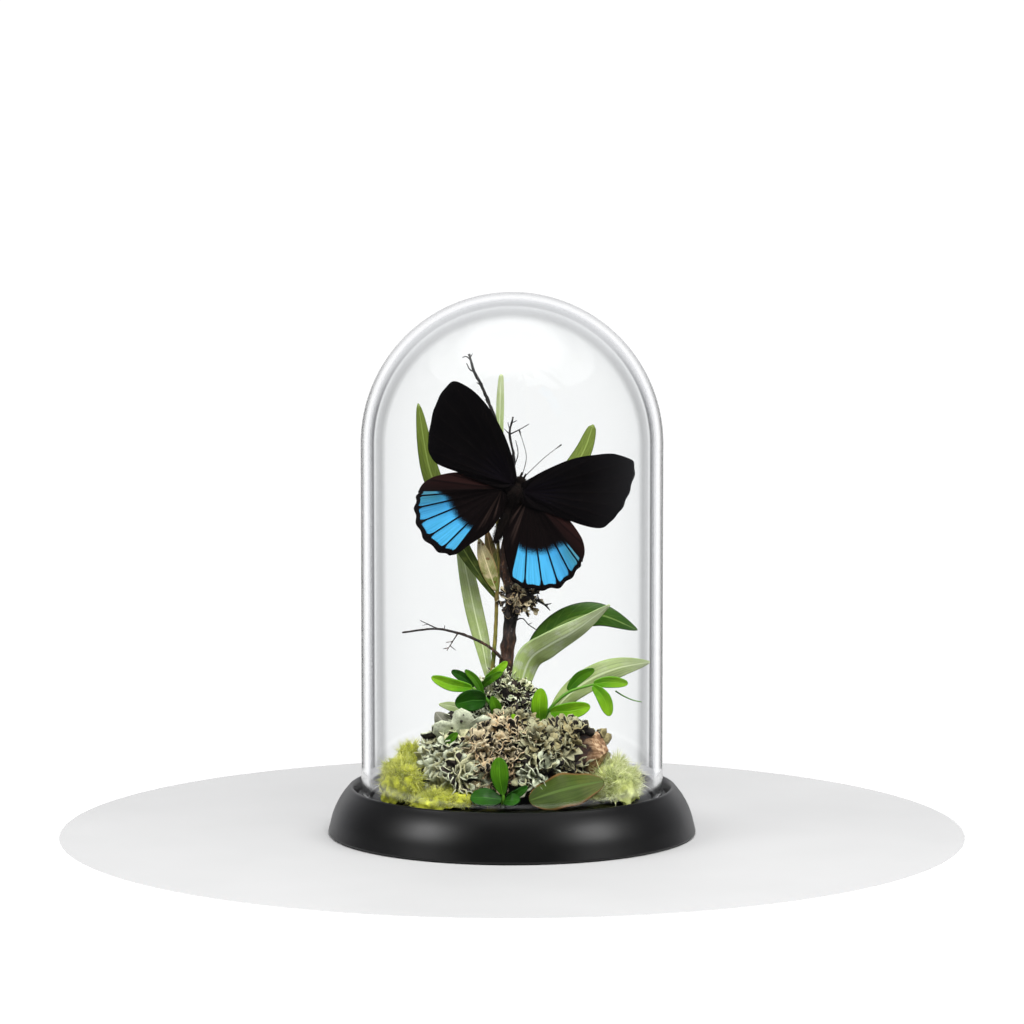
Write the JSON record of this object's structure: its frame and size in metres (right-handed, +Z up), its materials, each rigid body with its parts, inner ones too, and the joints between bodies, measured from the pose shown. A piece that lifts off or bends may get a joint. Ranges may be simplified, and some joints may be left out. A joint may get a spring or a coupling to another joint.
{
  "type": "butterfly in glass dome",
  "caption": "Preserved butterfly mounted on a twig with dried leaves, lichen and moss, under a clear glass dome on a round black turned base.",
  "frame": {"origin": "centre of the base's underside", "axes": "+Z up along the dome's axis, -Y towards the front, where the butterfly's upper side shows, +X to the right seen from the front"},
  "size_m": [0.122, 0.122, 0.18],
  "materials": {
    "black_base": "satin black",
    "clear_glass": "clear polished",
    "bark": "rough bark with a broken end",
    "twig_bark": "dark rough bark",
    "dry_stem": "dried green stem",
    "insect_body": "furry black",
    "black_wing": "matte scales, near black",
    "blue_banded_wing": "matte scales, near black with a sky blue band",
    "olive_leaf": "dried olive green leaf",
    "pale_leaf": "dried pale green leaf",
    "dark_leaf": "preserved dark green leaf",
    "dry_leaf": "dried yellow and brown leaf",
    "papery_leaf": "thin grey papery leaf",
    "sprig_leaf": "preserved glossy green leaf",
    "lichen": "dry grey green lichen",
    "moss": "fluffy preserved moss"
  },
  "bodies": {
    "root": {"base": "black_base", "glass_dome": "clear_glass", "bark_chunk": "bark", "twig_main": "twig_bark", "twig_upper_left": "twig_bark", "twig_upper_centre": "twig_bark", "twig_left": "twig_bark", "twig_right": "twig_bark", "leaf_stem": "dry_stem", "butterfly_body": "insect_body", "forewing_left": "black_wing", "forewing_right": "black_wing", "hindwing_left": "blue_banded_wing", "hindwing_right": "blue_banded_wing", "antenna_left": "insect_body", "antenna_right": "insect_body", "leaf_tall_left": "olive_leaf", "leaf_top_blade": "pale_leaf", "leaf_upper_right": "olive_leaf", "leaf_dry_front": "dry_leaf", "leaf_dry_back": "dry_leaf", "leaf_pale_left": "pale_leaf", "leaf_pale_right": "pale_leaf", "leaf_dark_right": "dark_leaf", "leaf_low_right": "pale_leaf", "leaf_pale_tip_left": "pale_leaf", "leaf_papery_left": "papery_leaf", "leaf_round_front": "dark_leaf", "sprig_front_stem": "dry_stem", "sprig_front_leaf_1": "sprig_leaf", "sprig_front_leaf_2": "sprig_leaf", "sprig_front_leaf_3": "sprig_leaf", "sprig_front_leaf_4": "sprig_leaf", "sprig_left_stem": "dry_stem", "sprig_left_leaf_1": "sprig_leaf", "sprig_left_leaf_2": "sprig_leaf", "sprig_left_leaf_3": "sprig_leaf", "sprig_left_leaf_4": "sprig_leaf", "sprig_left_leaf_5": "sprig_leaf", "sprig_right_stem": "dry_stem", "sprig_right_leaf_1": "sprig_leaf", "sprig_right_leaf_2": "sprig_leaf", "sprig_right_leaf_3": "sprig_leaf", "sprig_right_leaf_4": "sprig_leaf", "sprig_right_leaf_5": "sprig_leaf", "lichen_collar": "lichen", "lichen_twig": "lichen", "lichen_left": "lichen", "lichen_centre": "lichen", "lichen_right": "lichen", "lichen_back": "lichen", "moss_left": "moss", "moss_front": "moss", "moss_right": "moss", "moss_back": "moss"}
  },
  "joints": []
}
